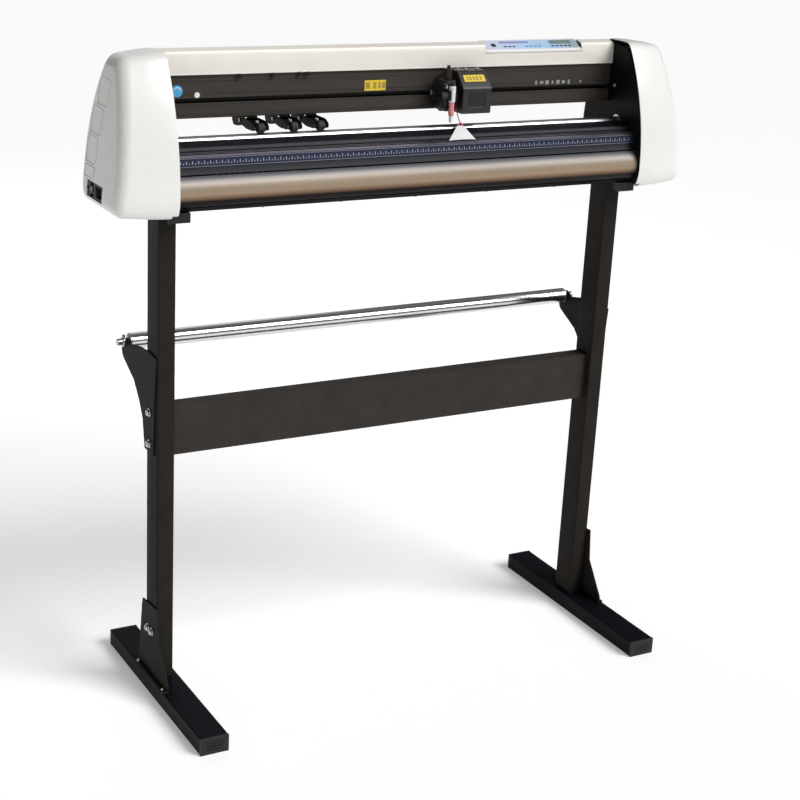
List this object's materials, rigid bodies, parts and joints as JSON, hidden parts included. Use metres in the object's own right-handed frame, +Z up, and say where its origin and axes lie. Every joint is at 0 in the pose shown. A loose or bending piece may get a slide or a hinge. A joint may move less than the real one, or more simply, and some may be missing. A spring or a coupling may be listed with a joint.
{
  "type": "vinyl cutting plotter",
  "caption": "Floor-standing vinyl cutting plotter: a sliding blade carriage over a grit shaft and pinch wheels, on a two-column stand with a media roller.",
  "frame": {"origin": "on the floor, midway between the feet and midway along them", "axes": "+X along the machine to the control panel's end, +Y to the rear, +Z up"},
  "size_m": [1.0744, 0.428, 1.1],
  "materials": {
    "foot_paint": "satin powder coat",
    "powder_coat": "fine textured powder coat",
    "black_moulding": "fine moulded grain",
    "roller_chrome": "polished",
    "machined_steel": "turned",
    "zinc_fastener": "bright zinc plate",
    "side_moulding": "fine moulded grain",
    "cover_moulding": "semi-gloss with fine grain",
    "hood_moulding": "semi-gloss",
    "rail_anodising": "dark anodised",
    "platen_anodising": "black anodised",
    "ruler_film": "printed film",
    "cutting_strip": "smooth",
    "apron_metal": "brushed and anodised",
    "panel_moulding": "semi-gloss",
    "keypad_film": "printed film",
    "circuit_board": "solder mask",
    "pulley_aluminium": "machined",
    "motor_paint": "satin",
    "belt_rubber": "matt",
    "carriage_moulding": "fine moulded grain",
    "nylon": "smooth",
    "string_thread": "twisted thread",
    "tag_paper": "uncoated",
    "wheel_rubber": "matt"
  },
  "bodies": {
    "frame": {"left_foot": "foot_paint", "right_foot": "foot_paint", "foot_caps": "black_moulding", "left_column": "powder_coat", "right_column": "powder_coat", "foot_gussets": "powder_coat", "cross_panel": "powder_coat", "roll_arms": "powder_coat", "head_brackets": "powder_coat", "head_knobs": "black_moulding", "stand_bolts": "zinc_fastener", "left_side_panel": "side_moulding", "right_side_panel": "side_moulding", "left_cover": "cover_moulding", "right_cover": "cover_moulding", "hood": "hood_moulding", "rail": "rail_anodising", "platen": "platen_anodising", "ruler_strip": "ruler_film", "cutting_strip": "cutting_strip", "apron": "apron_metal", "base_tray": "powder_coat", "control_panel": "panel_moulding", "keypad_overlay": "keypad_film", "power_inlet": "black_moulding", "power_supply": "machined_steel", "mainboard": "circuit_board", "shaft_bearings": "machined_steel", "feed_motor": "motor_paint", "feed_belt": "belt_rubber", "pulley_brackets": "powder_coat", "carriage_motor": "motor_paint", "carriage_belt": "belt_rubber"},
    "grit_roller": {"grit_shaft": "roller_chrome", "feed_pulley": "pulley_aluminium"},
    "feed_motor_pulley": {"feed_motor_pulley": "pulley_aluminium"},
    "drive_pulley": {"drive_pulley": "pulley_aluminium"},
    "idler_pulley": {"idler_pulley": "pulley_aluminium"},
    "carriage": {"carriage_plate": "carriage_moulding", "glide_shoe": "nylon", "carriage_cover": "carriage_moulding", "lift_unit": "carriage_moulding", "tag_string": "string_thread", "transit_tag": "tag_paper"},
    "blade_lift": {"holder_clamp": "carriage_moulding", "blade_holder": "nylon"},
    "blade": {"blade": "machined_steel"},
    "holder_knob": {"holder_knob": "black_moulding"},
    "media_roller": {"media_roller": "roller_chrome", "roller_plugs": "machined_steel"},
    "power_switch": {"power_switch": "black_moulding"},
    "pinch_bracket_1": {"pinch_bracket_1": "black_moulding"},
    "pinch_arm_1": {"pinch_arm_1": "black_moulding"},
    "pinch_wheel_1": {"pinch_wheel_1": "wheel_rubber"},
    "pinch_bracket_2": {"pinch_bracket_2": "black_moulding"},
    "pinch_arm_2": {"pinch_arm_2": "black_moulding"},
    "pinch_wheel_2": {"pinch_wheel_2": "wheel_rubber"},
    "pinch_bracket_3": {"pinch_bracket_3": "black_moulding"},
    "pinch_arm_3": {"pinch_arm_3": "black_moulding"},
    "pinch_wheel_3": {"pinch_wheel_3": "wheel_rubber"}
  },
  "joints": [
    {"name": "grit_roller_spin", "type": "hinge", "parent": "frame", "child": "grit_roller", "pos_m": [0, 0.025, 0.957], "axis": [1, 0, 0], "continuous": true},
    {"name": "feed_motor_spin", "type": "hinge", "parent": "frame", "child": "feed_motor_pulley", "pos_m": [0, 0.081, 0.891], "axis": [1, 0, 0], "continuous": true},
    {"name": "carriage_slide", "type": "slide", "parent": "frame", "child": "carriage", "axis": [1, 0, 0], "range_m": [-0.478, 0.278]},
    {"name": "drive_pulley_spin", "type": "hinge", "parent": "frame", "child": "drive_pulley", "pos_m": [0.477, 0.074, 1.016], "axis": [0, 0, 1], "continuous": true},
    {"name": "idler_pulley_spin", "type": "hinge", "parent": "frame", "child": "idler_pulley", "pos_m": [-0.477, 0.074, 1.016], "axis": [0, 0, 1], "continuous": true},
    {"name": "blade_lift", "type": "slide", "parent": "carriage", "child": "blade_lift", "axis": [0, 0, -1], "range_m": [0, 0.014], "stiffness_N_per_m": 60, "springref_m": -0.012},
    {"name": "blade_swivel", "type": "hinge", "parent": "blade_lift", "child": "blade", "pos_m": [0.071, -0.004, 0.975], "axis": [0, 0, 1], "continuous": true},
    {"name": "holder_knob_turn", "type": "hinge", "parent": "blade_lift", "child": "holder_knob", "pos_m": [0.061, -0.004, 1.02], "axis": [-1, 0, 0], "range_deg": [0, 270]},
    {"name": "media_roller_spin", "type": "hinge", "parent": "frame", "child": "media_roller", "pos_m": [0, 0.153, 0.597], "axis": [1, 0, 0], "continuous": true},
    {"name": "power_rocker", "type": "hinge", "parent": "frame", "child": "power_switch", "pos_m": [-0.5275, 0.062, 0.882], "axis": [0, 1, 0], "range_deg": [0, 8]},
    {"name": "pinch_slide_1", "type": "slide", "parent": "frame", "child": "pinch_bracket_1", "axis": [1, 0, 0], "range_m": [-0.15, 0.014]},
    {"name": "pinch_lift_1", "type": "hinge", "parent": "pinch_bracket_1", "child": "pinch_arm_1", "pos_m": [-0.266, 0.074, 0.979], "axis": [-1, 0, 0], "range_deg": [0, 3], "stiffness_Nm_per_rad": 0.5, "springref_deg": -11.46},
    {"name": "pinch_spin_1", "type": "hinge", "parent": "pinch_arm_1", "child": "pinch_wheel_1", "pos_m": [-0.266, 0.025, 0.97405], "axis": [1, 0, 0], "continuous": true},
    {"name": "pinch_slide_2", "type": "slide", "parent": "frame", "child": "pinch_bracket_2", "axis": [1, 0, 0], "range_m": [-0.014, 0.009]},
    {"name": "pinch_lift_2", "type": "hinge", "parent": "pinch_bracket_2", "child": "pinch_arm_2", "pos_m": [-0.207, 0.074, 0.979], "axis": [-1, 0, 0], "range_deg": [0, 3], "stiffness_Nm_per_rad": 0.5, "springref_deg": -11.46},
    {"name": "pinch_spin_2", "type": "hinge", "parent": "pinch_arm_2", "child": "pinch_wheel_2", "pos_m": [-0.207, 0.025, 0.97405], "axis": [1, 0, 0], "continuous": true},
    {"name": "pinch_slide_3", "type": "slide", "parent": "frame", "child": "pinch_bracket_3", "axis": [1, 0, 0], "range_m": [-0.009, 0.15]},
    {"name": "pinch_lift_3", "type": "hinge", "parent": "pinch_bracket_3", "child": "pinch_arm_3", "pos_m": [-0.159, 0.074, 0.979], "axis": [-1, 0, 0], "range_deg": [0, 3], "stiffness_Nm_per_rad": 0.5, "springref_deg": -11.46},
    {"name": "pinch_spin_3", "type": "hinge", "parent": "pinch_arm_3", "child": "pinch_wheel_3", "pos_m": [-0.159, 0.025, 0.97405], "axis": [1, 0, 0], "continuous": true}
  ],
  "couplings": [
    {"joint": "feed_motor_spin", "follows": "grit_roller_spin", "ratio": 3},
    {"joint": "drive_pulley_spin", "follows": "carriage_slide", "rad_per_m": 125},
    {"joint": "idler_pulley_spin", "follows": "carriage_slide", "rad_per_m": 125}
  ]
}
